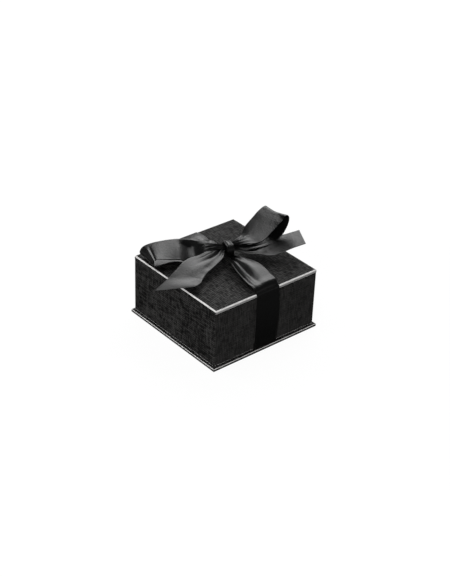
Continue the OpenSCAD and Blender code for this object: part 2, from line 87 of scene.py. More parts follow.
class Tree:
    """One node tree, with short calls for the nodes that the materials below share."""

    def __init__(self, owner):
        owner.use_nodes = True
        self.owner = owner
        self.nodes = owner.node_tree.nodes
        self.links = owner.node_tree.links

    def make(self, kind, inputs=(), **settings):
        node = self.nodes.new(kind)
        for key, value in settings.items():
            setattr(node, key, value)
        for key, value in dict(inputs).items():
            self.put(node.inputs[key], value)
        return node

    def put(self, socket, value):
        if isinstance(value, bpy.types.NodeSocket):
            self.links.new(value, socket)
        else:
            socket.default_value = value

    def math(self, operation, *values, clamp=False):
        node = self.make("ShaderNodeMath", enumerate(values), operation=operation)
        node.use_clamp = clamp
        return node.outputs[0]

    def add(self, *values):
        total = values[0]
        for value in values[1:]:
            total = self.math("ADD", total, value)
        return total

    def times(self, *values):
        total = values[0]
        for value in values[1:]:
            total = self.math("MULTIPLY", total, value)
        return total

    def span(self, value, low, high, to_low=0.0, to_high=1.0):
        """value carried smoothly from low..high to to_low..to_high."""
        node = self.make("ShaderNodeMapRange", {
            "Value": value, "From Min": low, "From Max": high,
            "To Min": to_low, "To Max": to_high}, interpolation_type="SMOOTHSTEP")
        return node.outputs[0]

    def noise(self, place, scale, detail=2.0, roughness=0.5, turn=0.0):
        """Noise with one scale, or with one for each axis after a turn about z."""
        if isinstance(scale, tuple):
            place = self.make("ShaderNodeMapping", {
                "Vector": place, "Scale": scale, "Rotation": (0, 0, turn)}).outputs[0]
            scale = 1.0
        node = self.make("ShaderNodeTexNoise", {
            "Vector": place, "Scale": scale, "Detail": detail, "Roughness": roughness})
        return node.outputs["Fac"]

    def mix(self, share, a, b):
        node = self.make("ShaderNodeMix", data_type="RGBA")
        self.put(node.inputs[0], share)
        self.put(node.inputs[6], a)
        self.put(node.inputs[7], b)
        return node.outputs[2]

    def bump(self, height, distance, strength, normal=None):
        node = self.make("ShaderNodeBump", {
            "Height": height, "Distance": distance, "Strength": strength})
        if normal is not None:
            self.put(node.inputs["Normal"], normal)
        return node.outputs[0]


def grey(level, warmth=0.0):
    return (level * (1 + warmth), level, level * (1 - warmth), 1)


class Finish(Tree):
    """A material with one Principled shader, whose uniform values are given by name with
    underscores for spaces, and the object coordinates that the rest is made from."""

    def __init__(self, name, **fixed):
        super().__init__(bpy.data.materials.new(name))
        self.shader = self.nodes["Principled BSDF"]
        self.place = self.make("ShaderNodeTexCoord").outputs["Object"]
        for key, value in fixed.items():
            self.shader.inputs[key.replace("_", " ")].default_value = value

    def axes(self, vector):
        return self.make("ShaderNodeSeparateXYZ", {0: vector}).outputs

    def finish(self, colour, roughness=None, normal=None):
        self.put(self.shader.inputs["Base Color"], colour)
        if roughness is not None:
            self.put(self.shader.inputs["Roughness"], roughness)
        if normal is not None:
            self.put(self.shader.inputs["Normal"], normal)
        return self.owner


LINEN_PITCH = 1.5            # mm from thread to thread in the embossed linen
LINEN_WOBBLE = 0.2           # how far a thread wanders from straight, in threads
THREAD_ALONG, THREAD_ACROSS = 190, 1300  # scale of a thread's thick and thin places
THREAD_SHIFT = 1.3           # radians, so that the three directions don't line up
LIP_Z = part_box("lid_top_board")[0].z  # metres, the lower edge of the top board's lip


def linen_paper():
    """Black paper embossed as linen. Its main threads run parallel to the left and right
    edges of the lid, and down the front and back walls; thinner ones cross them."""
    f = Finish("linen_paper", Specular_IOR_Level=0.15)
    place = f.axes(f.place)
    normal = f.axes(f.make("ShaderNodeNewGeometry").outputs["Normal"])
    facing = [f.math("ABSOLUTE", n) for n in normal]
    wander = f.noise(f.place, 160)
    threads = []
    for i in range(3):
        scale = [THREAD_ALONG] * 3
        scale[i] = THREAD_ACROSS
        slub = f.noise(f.place, tuple(scale), 3, 0.65)
        turns = f.add(
            f.times(place[i], math.pi / (LINEN_PITCH * MM)),
            f.times(wander, LINEN_WOBBLE * math.pi), i * THREAD_SHIFT)
        ridge = f.math("POWER", f.math("ABSOLUTE", f.math("SINE", turns)), 0.8)
        threads.append(f.times(ridge, f.span(slub, 0.32, 0.68, 0.0, 1.1)))
    # How strongly each direction's threads show, by the way that the paper faces.
    weights = [
        f.math("SUBTRACT", f.math("SUBTRACT", 1.0, facing[0]), f.times(facing[1], 0.6)),
        f.times(f.math("SUBTRACT", 1.0, facing[1]), 0.8),
        f.add(facing[0], f.times(facing[1], 0.3))]
    weave = f.times(f.add(*[f.times(t, w) for t, w in zip(threads, weights)]), 0.62)
    specks = f.noise(f.place, 1500, 3, 0.75)
    patches = f.noise(f.place, 60, 3)
    # Painted light: the front and back walls are painted lighter than the other faces, by
    # the way they face.
    tone = f.add(
        f.times(specks, 0.7), f.times(weave, f.span(patches, 0.3, 0.7, 0.8, 1.1)),
        f.times(facing[1], 0.3))
    colour = f.mix(f.span(tone, 0.52, 1.05), grey(0.001), grey(0.034, 0.02))

    def by_lip(start, end, *levels):
        return f.span(place[2], LIP_Z + start * MM, LIP_Z + end * MM, *levels)

    # The round edges and the lip are painted pale: partly rubbed wear, partly painted
    # highlight where light glints on them. The dark line under the lip is painted shade.
    edge = f.math("MINIMUM", facing[2], f.math("MAXIMUM", facing[0], facing[1]))
    pale_patchiness = f.span(f.noise(f.place, 240, 4, 0.7), 0.2, 0.55, 0.6, 1)
    lip = f.times(facing[1], by_lip(-0.1, 0.1, 0, 0.4))
    wear_and_painted_highlight = f.times(f.math("MAXIMUM", f.span(edge, 0.1, 0.35), lip), pale_patchiness)
    # Painted shade: a dark line just under the lip on the front and back walls.
    painted_shade_under_lip = f.times(facing[1], by_lip(-0.9, -0.6), by_lip(0, -0.2))
    colour = f.mix(f.times(painted_shade_under_lip, 0.9), colour, grey(0.001))
    # Painted highlight with some real wear: the round edges and the lip face are lightened.
    colour = f.mix(f.times(wear_and_painted_highlight, 0.9), colour, grey(0.6, 0.01))
    rough = f.span(weave, 0.1, 0.9, 0.85, 0.62)
    roughness = f.math("SUBTRACT", rough, f.times(wear_and_painted_highlight, 0.35))
    height = f.add(weave, f.times(specks, 0.5))
    return f.finish(colour, roughness, f.bump(height, 0.14 * MM, 0.8))


def plain_paper():
    """Smooth black lining paper: short crossing fibres and a faint calendered mottle."""
    f = Finish("black_paper", Specular_IOR_Level=0.35)
    fibres = f.noise(f.place, (2400, 500, 900), 4, 0.7, turn=0.4)
    crossing = f.noise(f.place, (500, 2400, 900), 4, 0.7, turn=-0.5)
    mottle = f.noise(f.place, 90, 4)
    fleck = f.math("MAXIMUM", fibres, crossing)
    colour = f.mix(f.span(fleck, 0.45, 0.75), grey(0.012), grey(0.04, 0.02))
    colour = f.mix(f.times(f.span(mottle, 0.35, 0.7), 0.3), colour, grey(0.05, 0.03))
    roughness = f.span(mottle, 0.3, 0.7, 0.6, 0.75)
    return f.finish(colour, roughness, f.bump(f.add(fleck, mottle), 0.05 * MM, 0.6))


def greyboard():
    """Pressed grey board: recycled fibres, flecks of brown and dark pulp."""
    f = Finish("greyboard", Specular_IOR_Level=0.25)
    fibres = f.noise(f.place, (700, 2600, 1500), 5, 0.7, turn=0.3)
    pulp = f.noise(f.place, 420, 5, 0.7)
    flecks = f.span(f.noise(f.place, 1500), 0.68, 0.74)
    colour = f.mix(f.span(pulp, 0.3, 0.7), grey(0.22, 0.08), grey(0.36, 0.1))
    colour = f.mix(f.times(flecks, 0.6), colour, grey(0.08, 0.2))
    height = f.add(fibres, f.times(pulp, 0.6))
    roughness = f.span(pulp, 0.3, 0.7, 0.8, 0.95)
    return f.finish(colour, roughness, f.bump(height, 0.1 * MM, 0.7))


TAPE_RIB_PITCH = 0.55        # mm


def gummed_tape():
    """Brown gummed paper tape, with the ribs of its kraft and a slight shine of glue."""
    f = Finish("gummed_tape", Specular_IOR_Level=0.45)
    ribs = f.math("SINE", f.times(f.axes(f.place)[2], 2 * math.pi / (TAPE_RIB_PITCH * MM)))
    fibres = f.noise(f.place, (1800, 1800, 300), 4, 0.65)
    stain = f.noise(f.place, 150, 3)
    colour = f.mix(f.span(fibres, 0.3, 0.7), (0.3, 0.19, 0.1, 1), (0.47, 0.33, 0.2, 1))
    colour = f.mix(f.times(f.span(stain, 0.45, 0.7), 0.35), colour, (0.2, 0.12, 0.06, 1))
    height = f.math("MULTIPLY_ADD", ribs, 0.25, fibres)
    roughness = f.span(stain, 0.3, 0.7, 0.5, 0.7)
    return f.finish(colour, roughness, f.bump(height, 0.05 * MM, 0.6))


def foam():
    """Open-cell foam: fine round cells, slightly yellowed."""
    f = Finish("foam", Specular_IOR_Level=0.2)
    cells = f.make("ShaderNodeTexVoronoi", {"Vector": f.place, "Scale": 1700.0})
    cell = f.span(cells.outputs["Distance"], 0.0, 0.6)
    aged = f.noise(f.place, 70, 3)
    colour = f.mix(cell, (0.5, 0.48, 0.42, 1), (0.8, 0.79, 0.74, 1))
    colour = f.mix(f.times(f.span(aged, 0.4, 0.7), 0.3), colour, (0.7, 0.62, 0.42, 1))
    return f.finish(colour, 0.9, f.bump(cell, 0.2 * MM, 0.9))


def velvet():
    """Short black velvet: its pile lies over in patches and catches light at its edge."""
    f = Finish(
        "velvet", Specular_IOR_Level=0.15, Sheen_Weight=0.9, Sheen_Roughness=0.32,
        Sheen_Tint=(0.45, 0.45, 0.48, 1))
    pile = f.noise(f.place, (2600, 2600, 900), 3, 0.75)
    brushed = f.noise(f.place, (45, 90, 60), 3, 0.55, turn=0.5)
    tone = f.add(f.times(pile, 0.6), f.times(brushed, 0.5))
    colour = f.mix(f.span(tone, 0.35, 0.75), grey(0.004), grey(0.02, -0.04))
    height = f.add(pile, f.times(brushed, 0.8))
    roughness = f.span(brushed, 0.3, 0.7, 0.75, 0.95)
    return f.finish(colour, roughness, f.bump(height, 0.25 * MM, 0.8))


def lining_satin():
    """Black satin over the lid's cushion, its fine threads running from front to back."""
    f = Finish(
        "satin_lining", Specular_IOR_Level=0.6, Sheen_Weight=0.2, Sheen_Roughness=0.4)
    threads = f.noise(f.place, (5200, 350, 900), 2, 0.6)
    waves = f.noise(f.place, (90, 60, 90), 3, 0.5, turn=0.6)
    colour = f.mix(f.span(threads, 0.3, 0.7), grey(0.018), grey(0.05))
    height = f.add(f.times(threads, 0.3), f.times(waves, 3.0))
    roughness = f.span(waves, 0.3, 0.7, 0.34, 0.46)
    return f.finish(colour, roughness, f.bump(height, 0.2 * MM, 0.7))


WEFT_PITCH = 0.42            # mm


def ribbon_satin():
    """Black satin ribbon: fine warp along it, faint weft ribs across it, a fine mottle,
    soft handling creases, and a slightly tighter, smoother selvedge."""
    f = Finish("satin_ribbon", Specular_IOR_Level=0.5, Anisotropic=0.35)
    tangent = f.make("ShaderNodeTangent", direction_type="UV_MAP", uv_map="weave")
    f.put(f.shader.inputs["Tangent"], tangent.outputs[0])
    weave = f.make("ShaderNodeUVMap", uv_map="weave").outputs[0]
    across, along = f.axes(weave)[:2]
    warp = f.noise(weave, (75, 7, 1), 2, 0.6)
    weft = f.math("SINE", f.times(along, 2 * math.pi * RIBBON_W / WEFT_PITCH))
    grain = f.noise(weave, (38, 38, 1), 3, 0.7)
    mottle = f.noise(weave, (13, 13, 1), 3, 0.6)
    handled = f.noise(f.place, 110, 3, 0.55)
    edge = f.math("ABSOLUTE", f.math("MULTIPLY_ADD", across, 2.0, -1.0))
    selvedge = f.span(edge, 0.9, 0.96)
    tone = f.add(f.times(warp, 0.5), f.times(grain, 0.5))
    colour = f.mix(f.span(tone, 0.3, 0.7), grey(0.0005), grey(0.002))
    colour = f.mix(f.times(selvedge, 0.5), colour, grey(0.0005))
    roughness = f.add(f.span(grain, 0.3, 0.7, 0.35, 0.45), f.times(selvedge, -0.06))
    height = f.add(f.times(warp, 0.2), f.times(weft, 0.06), f.times(grain, 0.3))
    fine = f.bump(height, 0.08 * MM, 0.7)
    uneven = f.bump(mottle, 0.14 * MM, 1.0, fine)
    return f.finish(colour, roughness, f.bump(handled, 0.5 * MM, 0.5, uneven))


LOOKS = {
    "linen_paper": linen_paper(), "black_paper": plain_paper(), "greyboard": greyboard(),
    "gummed_tape": gummed_tape(), "foam": foam(), "velvet": velvet(),
    "satin_lining": lining_satin(), "satin_ribbon": ribbon_satin()}

NODE_LOOKS = {
    "linen_paper": ["base_wrap", "lid_wrap"],
    "black_paper": ["tray_wrap", "tray_floor_lining", "lid_lining"],
    "greyboard": [
        "base_board", "tray_floor_board", "tray_wall_front", "tray_wall_back",
        "tray_wall_left", "tray_wall_right", "pad_card", "lid_top_board",
        "lid_wall_front", "lid_wall_back", "lid_wall_left", "lid_wall_right"],
    "gummed_tape": ["tray_corner_stays", "lid_corner_stays"],
    "foam": ["pad_foam", "lid_cushion_foam"]}


def dress_frame():
    for look, names in NODE_LOOKS.items():
        for name in names:
            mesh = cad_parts[name].data
            mesh.materials.clear()
            mesh.materials.append(LOOKS[look])


# ------------------------------------------------------------------ ribbon

# All in millimetres. A station is x and y from the middle of the lid, z above its top,
# the direction across the ribbon, the share of its width that shows, the arch across it
# and, at the left tail, the share of the slanting cut.
RIBBON_T = 0.4
RIBBON_TAB = 12              # glued behind the lid's rim
RIBBON_BULGE = 0.9           # off the middle of the wall
RIBBON_EASE = 0.05           # kept from what the ribbon lies on
LID_EDGE_R = 1.0
TAIL_CUT = 19                # how much longer one edge of the left tail is
STEPS = 10                   # swept sections from one station to the next
TAB_STEPS, WALL_STEPS = 6, 25
CELLS = 30                   # faces across the ribbon
CROWDING = 0.6               # how far they crowd towards its edges
SELVEDGE_AT, SELVEDGE_SPREAD, SELVEDGE_BEAD = 0.93, 0.04, 0.25  # thickened by the last
EDGE_THINNED = 0.5           # the share of the thickness left at the very edge
RIBBON_SHARP, COVER_SHARP = math.radians(60), math.radians(50)  # creased edges above these

FRONT_ARCH = [
    (0, -40, 2.1, -1, 0, 0, 1, 0.8),
    (0.6, -32, 4.2, -1, -0.04, -0.03, 1, 1.6),
    (1.6, -22, 5.6, -1, -0.06, 0, 0.94, 2),
    (2.6, -12, 5.6, -1, -0.08, 0.05, 0.7, 1.4),
    (3.6, -4, 4.2, -1, 0, 0, 0.4, 0.5),
    (4.2, 2.4, 3.2, -1, 0, 0, 0.34, 0.3)]
BACK_ARCH = [
    (0, 40, 1.6, 1, 0, 0, 1, 0.6),
    (0.8, 32, 2.8, 1, 0, -0.04, 1, 1),
    (2.2, 23, 3.4, 1, 0, -0.04, 0.85, 1.2),
    (3.6, 15, 3.6, 1, 0, 0, 0.6, 0.8),
    (4.2, 9, 3.4, 1, 0, 0, 0.4, 0.4),
    (4.4, 3.2, 3.2, 1, 0, 0, 0.34, 0.3)]
LOOP_RIGHT = [
    (5.4, 3, 10.7, 0, 1, 0, 0.16, 0.2),
    (10, 2.2, 10.9, 0, 1, 0, 0.26, 0.4),
    (16.5, 1.5, 11.4, -0.1, 1, -0.12, 0.62, 0.8),
    (24, 0.2, 13.6, -0.22, 1, 0, 0.96, 0.8),
    (32.5, -0.4, 19.4, -0.27, 1, 0.03, 1, 0.5),
    (38.8, -0.8, 24.2, -0.28, 1, 0.02, 1, 0.2),
    (43.6, -1, 26.2, -0.28, 1, 0.02, 1, 0),
    (45.6, -1.2, 23.8, -0.26, 1, 0.02, 1, 0),
    (44.2, -1.2, 18.6, -0.25, 1, 0, 1, 0.1),
    (40, -1.2, 13.2, -0.22, 1, 0, 1, 0.3),
    (32.5, -0.6, 8.8, -0.2, 1, 0, 0.95, 0.6),
    (20, 0.8, 7.2, -0.1, 1, 0, 0.6, 0.6),
    (10, 2.6, 8.6, 0, 1, 0, 0.3, 0.4),
    (5.4, 3, 9, 0, 1, 0, 0.16, 0.2)]
LOOP_LEFT = [
    (3.4, 2.8, 10.6, -0.2, -1, 0, 0.16, 0.2),
    (-1.5, 4.9, 10.8, -0.3, -0.95, 0, 0.26, 0.6),
    (-8, 9.4, 11, -0.35, -0.9, -0.1, 0.46, 0.9),
    (-18, 15.6, 10.2, -0.42, -0.82, -0.3, 0.9, 0.8),
    (-29, 22, 10, -0.46, -0.82, -0.26, 1, 0.6),
    (-38.5, 27.5, 9.8, -0.32, -0.92, -0.1, 1, 0.2),
    (-43.4, 29.8, 8.2, -0.15, -1, 0.02, 1, 0),
    (-45.2, 30, 5, -0.14, -1, 0.02, 1, 0),
    (-42.4, 28.4, 1.8, -0.2, -1, 0, 1, 0.1),
    (-32, 23, 1.4, -0.35, -0.95, 0, 1, 0.2),
    (-19, 16.5, 2.4, -0.4, -0.9, 0, 0.9, 0.4),
    (-8, 9.6, 5, -0.3, -0.95, 0, 0.52, 0.5),
    (-1.5, 4.9, 7.3, -0.3, -0.95, 0, 0.26, 0.5),
    (3.4, 2.8, 7.8, -0.2, -1, 0, 0.16, 0.2)]
TAIL_LEFT = [
    (3.4, 2.6, 9.2, 0.2, -1, 0, 0.14, 0.1, 0),
    (-1.5, 2.6, 9, 0.3, -1, 0, 0.26, 0.4, 0),
    (-8, 0.4, 8, 0.32, -1, 0, 0.56, 0.5, 0),
    (-16.6, -1.1, 7.4, 0.3, -0.95, -0.08, 0.72, 0.5, 0),
    (-27.6, -2.4, 7.4, 0.24, -0.94, -0.24, 0.9, 0.3, 0),
    (-38.2, -6.4, 5.8, 0.24, -0.95, -0.22, 0.96, 0.1, 0.2),
    (-48, -9.6, 3, 0.24, -0.95, -0.22, 1, 0, 0.6),
    (-60, -11.2, -2.8, 0.24, -0.95, -0.22, 1, 0, 1)]
TAIL_RIGHT = [
    (5.4, 3, 7.7, 0.3, 0.8, -0.2, 0.14, 0.2),
    (9.6, 1.2, 6.8, 0.35, 0.8, -0.25, 0.2, 0.3),
    (16.5, -4.6, 4.2, 0.45, 0.75, -0.38, 0.5, 0.4),
    (26.5, -10.2, 4.8, 0.5, 0.8, -0.2, 0.85, 0.4),
    (34, -14.2, 8, 0.52, 0.84, -0.05, 1, 0.3),
    (42, -19, 11.6, 0.54, 0.84, 0, 1, 0.1),
    (50, -23.4, 14.4, 0.54, 0.84, 0, 1, 0)]
KNOT_MIDDLE, KNOT_REACH_Y, KNOT_REACH_Z, KNOT_WRAP_T = (4.5, 3, 9.2), 4.2, 3.7, 1
KNOT_TURN = math.radians(-20)
KNOT_STATIONS = 96
KNOT_SHOWN, KNOT_WAVER, KNOT_CAMBER = 0.27, 0.02, 0.3

LID_LOW, LID_HIGH = (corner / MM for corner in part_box("lid_wrap"))
LINEN_T, LINING_T = 0.35, 0.2
LID_TOP = LID_HIGH.z
TOP_BOARD_Z = LIP_Z / MM
WALL_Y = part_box("lid_wall_front")[0].y / -MM + LINEN_T
INSIDE_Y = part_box("lid_lining")[0].y / -MM - LINING_T


def on_lid(stations):
    """Stations as rows of nine numbers, with z from the ground."""
    rows = np.array([tuple(s) + (0,) * (9 - len(s)) for s in stations], float)
    rows[:, 2] += LID_TOP
    return rows


def curve(rows):
    """Rows on the Catmull-Rom curve through the given ones."""
    ends = np.vstack([2 * rows[0] - rows[1], rows, 2 * rows[-1] - rows[-2]])
    out = []
    for a, b, c, d in zip(ends, ends[1:], ends[2:], ends[3:]):
        for k in range(STEPS):
            t = k / STEPS
            out.append((
                2 * b + (c - a) * t + (2 * a - 5 * b + 4 * c - d) * t ** 2
                + (3 * b - a - 3 * c + d) * t ** 3) / 2)
    return np.array(out + [rows[-1]])


def band_rows(front, arch):
    """A band from its glued end inside the lid, under the rim, up the wall, round the
    lid's edge and over the top to the knot. front is -1 at the front and 1 at the back."""
    half = RIBBON_T / 2
    low = LID_LOW.z - half
    inner = INSIDE_Y - half - RIBBON_EASE
    outer = WALL_Y + half + RIBBON_EASE
    fold_y, fold_z = LID_HIGH.y - LID_EDGE_R, LID_TOP - LID_EDGE_R
    fold_r = LID_EDGE_R + half + RIBBON_EASE
    path = [
        (inner, LID_LOW.z + RIBBON_TAB * k / TAB_STEPS) for k in range(TAB_STEPS, 0, -1)]
    for middle_y, start in ((inner + half, 180), (outer - half, 270)):
        for a in range(0, 91, 30):
            turn = math.radians(start + a)
            path.append((
                middle_y + half * math.cos(turn), low + half + half * math.sin(turn)))
    for share in np.linspace(0, 1, WALL_STEPS + 1)[1:-1]:
        bulge = RIBBON_BULGE * math.sin(math.pi * share)
        path.append((
            outer + (fold_y + fold_r - outer) * share + bulge,
            low + half + (TOP_BOARD_Z - low - half) * share))
    for a in range(0, 81, 10):
        turn = math.radians(a)
        path.append((fold_y + fold_r * math.cos(turn), fold_z + fold_r * math.sin(turn)))
    wall = [(0, front * y, z, front, 0, 0, 1, 0, 0) for y, z in path]
    edge = (0, front * fold_y, fold_z + fold_r, front, 0, 0, 1, 0, 0)
    return np.vstack([wall, curve(np.vstack([[edge], on_lid(arch)]))])


def knot_rows():
    """The knot's wrap, once round the middle of the bow and square to its loops."""
    x, y, z = KNOT_MIDDLE
    turn_cos, turn_sin = math.cos(KNOT_TURN), math.sin(KNOT_TURN)
    rows = []
    for i in range(KNOT_STATIONS):
        a = 2 * math.pi * i / KNOT_STATIONS
        reach = KNOT_REACH_Y * math.cos(a)
        rows.append((
            x - reach * turn_sin, y + reach * turn_cos, z + KNOT_REACH_Z * math.sin(a),
            turn_cos, turn_sin, 0, KNOT_SHOWN + KNOT_WAVER * math.sin(3 * a), KNOT_CAMBER))
    return on_lid(rows)


def unit(vectors):
    return vectors / np.linalg.norm(vectors, axis=-1, keepdims=True)


def hump(x, middle, width):
    """1 at the middle, falling to 0.37 a width away and to nothing beyond."""
    return np.exp(-((x - middle) / width) ** 2)


def rise(x, low, high):
    """0 up to low and 1 from high on, with a smooth step between."""
    t = np.clip((x - low) / (high - low), 0, 1)
    return t * t * (3 - 2 * t)


def sweep(name, rows, relief, thick=RIBBON_T, closed=False):
    """A ribbon of the given thickness through the rows. relief(u, x, y, z, share) is how
    far its cloth stands from the plain arch, where u runs from -1 to 1 across it and z is
    above the lid."""
    middle = rows[:, 0:3]
    if closed:
        ahead, behind = np.roll(middle, -1, 0), np.roll(middle, 1, 0)
    else:
        ahead = np.vstack([middle[1:], middle[-1:]])
        behind = np.vstack([middle[:1], middle[:-1]])
    along = unit(ahead - behind)
    raw = rows[:, 3:6]
    across = unit(raw - along * np.sum(raw * along, 1, keepdims=True))
    up = np.cross(along, across)

    flat = np.linspace(-1, 1, CELLS + 1)
    u = CROWDING * np.sin(flat * math.pi / 2) + (1 - CROWDING) * flat
    bead = SELVEDGE_BEAD * hump(np.abs(u), SELVEDGE_AT, SELVEDGE_SPREAD)
    half = thick / 2 * (1 + bead)
    half[[0, -1]] *= EDGE_THINNED
    x, y, z = middle[:, 0:1], middle[:, 1:2], middle[:, 2:3] - LID_TOP
    share, camber, cut = rows[:, 6:7], rows[:, 7:8], rows[:, 8:9]
    lift = camber * (1 - u ** 2) + relief(u, x, y, z, share)
    mid = (
        middle[:, None] + across[:, None] * (u * share * RIBBON_W / 2)[..., None]
        - along[:, None] * (cut * TAIL_CUT * (u + 1) / 2)[..., None])
    upper = mid + up[:, None] * (lift + half)[..., None]
    lower = mid + up[:, None] * (lift - half)[..., None]
    ring = np.concatenate([upper, lower[:, ::-1]], 1)

    n, m = ring.shape[:2]
    lengths = np.linalg.norm(np.roll(middle, -1, 0) - middle, axis=1)
    run = np.concatenate([[0], np.cumsum(lengths)])
    width = np.concatenate([u, u[::-1]]) / 2 + 0.5
    faces, weave = [], []
    for i in range(n if closed else n - 1):
        for j in range(m):
            k, l = (j + 1) % m, (i + 1) % n
            faces.append((i * m + j, i * m + k, l * m + k, l * m + j))
            for w, r in ((j, i), (k, i), (k, i + 1), (j, i + 1)):
                weave.append((width[w], run[r] / RIBBON_W))
    if not closed:
        for i, order in ((0, 1), (n - 1, -1)):
            for j in range(CELLS):
                face = (j, m - 1 - j, m - 2 - j, j + 1)[::order]
                faces.append(tuple(i * m + c for c in face))
                weave += [(width[c], run[i] / RIBBON_W) for c in face]
    mesh = bpy.data.meshes.new(name)
    mesh.from_pydata((ring.reshape(-1, 3) * MM).tolist(), [], faces)
    layer = mesh.uv_layers.new(name="weave")
    layer.data.foreach_set("uv", np.array(weave, np.float32).ravel())
    mesh.shade_smooth()
    mesh.set_sharp_from_angle(angle=RIBBON_SHARP)
    mesh.materials.append(LOOKS["satin_ribbon"])
    piece = bpy.data.objects.new(name, mesh)
    scene.collection.objects.link(piece)
    return piece, float(run[-1] if closed else run[n - 1])


def pleats(u, share, waves, depth, phase):
    """The folds that take up the width where the ribbon is gathered."""
    full = rise(1 - share, 0.05, 0.75)
    return depth * full * np.sin(waves * math.pi * u + phase) * (1 - 0.4 * u ** 2)


def front_relief(u, x, y, z, share):
    """A dark hollow left of the middle with a folded ridge beside it, and a flat lit right
    half; by the lid's edge, a level stretch on top and a swelling on the wall under it."""
    on_top = rise(y, -44, -38)
    along = hump(y, -23, 12)
    hollow = -3.4 * hump(u, 0.34, 0.26) * along
    fold = (1.3 * hump(u, 0.74, 0.08) - 0.7 * hump(u, 0.88, 0.05)) * hump(y, -21, 14)
    flat = 1.1 * u ** 2 * (u < 0) * hump(y, -26, 15)
    wall = 0.5 * hump(z, -2.4, 1.2) * (1 - rise(y, -46, -44.6))
    # This also moves the turned-in end inside the lid, which it shouldn't.
    level = 1.6 * hump(y, -40.5, 3.6) * rise(y, -45, -43)
    return on_top * (hollow + fold + flat) + wall + level + pleats(u, share, 3.2, 0.9, 0.6)


def back_relief(u, x, y, z, share):
    """Twisted and waved on its way to the knot, so that only one patch lies level."""
    on_top = rise(-y, -44, -38)
    turned = -2.4 * u * hump(y, 24, 12)
    waves = 1.2 * np.cos(2 * math.pi * (y - 23) / 15) * hump(y, 24, 9)
    crease = -1.2 * hump(u, 0.2, 0.18) * hump(y, 24, 9)
    return on_top * (turned + waves + crease) + pleats(u, share, 3.0, 0.9, 1.2)


def right_loop_relief(u, x, y, z, share):
    """Nearly smooth above; the lower layer is folded lengthwise towards the knot."""
    lower = 1 - rise(z, 9.6, 11)
    folds = 1.3 * np.sin(2.2 * math.pi * u + 0.6) * hump(x, 19, 9)
    return lower * folds * (1 - 0.5 * u ** 2) + pleats(u, share, 3.4, 0.8, 0.3)


def left_loop_relief(u, x, y, z, share):
    """The upper layer dips between the gathers and the round of the loop, its far edge
    less than the rest, the end of the loop is pinched into a crease, and the near edge of
    the lower layer curls up. On that layer a negative relief is upwards."""
    upper = rise(z, 5.5, 8)
    dip = -5 * rise(-x, 9, 17.5) * (1 - rise(-x, 17.5, 27))
    far_edge = rise(-u, 0.5, 1)
    crease = 0.45 * hump(x, -43.2, 0.5) - 0.5 * hump(x, -42, 0.6)
    near_edge = -5 * rise(u, 0.3, 1) * hump(x, -31, 10)
    return (
        upper * (dip * (1 - 0.85 * far_edge) + crease * rise(u, -1, 0))
        + (1 - rise(z, 3, 6)) * near_edge
        + pleats(u, share, 3.4, 0.8, 0.9))


def left_tail_relief(u, x, y, z, share):
    """Its far side is folded up into a strip with two creases near the knot, and its tip
    droops less."""
    near_knot = hump(x, -11, 11)
    strip = 2.4 * np.clip((-0.15 - u) / 0.85, 0, 1)
    creases = -0.5 * hump(u, -0.15, 0.06) - 0.4 * hump(u, -0.6, 0.05)
    dent = -0.7 * hump(u, 0.65, 0.3) * hump(x, -21, 4)
    crown = 0.4 * hump(u, 0.1, 0.4) * hump(x, -31, 7)
    level = 2.6 * rise(-x, 45, 62)
    return (
        near_knot * (strip + creases) + dent + crown + level
        + pleats(u, share, 2.6, 0.5, 0.2))


def right_tail_relief(u, x, y, z, share):
    """Turned up towards its far edge where it lies lowest."""
    level = 1.2 * hump(x, 23, 7)
    return level + 2.2 * (u + 0.3) * hump(x, 29, 9) + pleats(u, share, 2.8, 0.7, 0.4)


def knot_relief(u, x, y, z, share):
    """Flattened above, fuller in front, with a few slanting folds."""
    turn = np.arctan2(
        (z - KNOT_MIDDLE[2]) / KNOT_REACH_Z, (y - KNOT_MIDDLE[1]) / KNOT_REACH_Y)
    corners = 0.35 * np.sin(2 * turn) ** 2
    front = 1.5 * np.clip(-np.cos(turn), 0, 1) ** 2
    folds = 0.3 * np.sin(2.4 * math.pi * u + 0.3 * (y + z))
    creases = 0.12 * np.sin(9 * u + 0.6 * y)
    return corners + front + folds + creases


def make_ribbons():
    """The bands, loops, tails and knot, each a length of the same ribbon."""
    plans = [
        ("band_front_satin", "ribbon_band_front", band_rows(-1, FRONT_ARCH), front_relief),
        ("band_back_satin", "ribbon_band_back", band_rows(1, BACK_ARCH), back_relief),
        ("loop_right_satin", "bow_loop_right", curve(on_lid(LOOP_RIGHT)),
         right_loop_relief),
        ("loop_left_satin", "bow_loop_left", curve(on_lid(LOOP_LEFT)), left_loop_relief),
        ("tail_left_satin", "bow_tail_left", curve(on_lid(TAIL_LEFT)), left_tail_relief),
        ("tail_right_satin", "bow_tail_right", curve(on_lid(TAIL_RIGHT)),
         right_tail_relief),
        ("knot_satin", "bow_knot", knot_rows(), knot_relief)]
    for name, node, rows, relief in plans:
        knot = node == "bow_knot"
        piece, length = sweep(name, rows, relief, KNOT_WRAP_T if knot else RIBBON_T, knot)
        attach(piece, "lid")
        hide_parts(node)


# ------------------------------------------------------------------ padded pieces

SIM_SCALE = 10               # the cloth is solved at this many times its size, to be stable
SIM_FRAMES = 20
SIM_PRESSURE, SIM_QUALITY = 4, 6
FAR_BELOW = 60               # mm, so that no point leaves a block through its foot


def block_mesh(name, low, high):
    """A block between two corners, in metres."""
    mesh = bpy.data.meshes.new(name)
    shape = bmesh.new()
    bmesh.ops.create_cube(shape, size=1)
    size, middle = high - low, (high + low) / 2
    for v in shape.verts:
        v.co = Vector(v.co[i] * size[i] + middle[i] for i in range(3))
    shape.to_mesh(mesh)
    shape.free()
    piece = bpy.data.objects.new(name, mesh)
    scene.collection.objects.link(piece)
    return piece


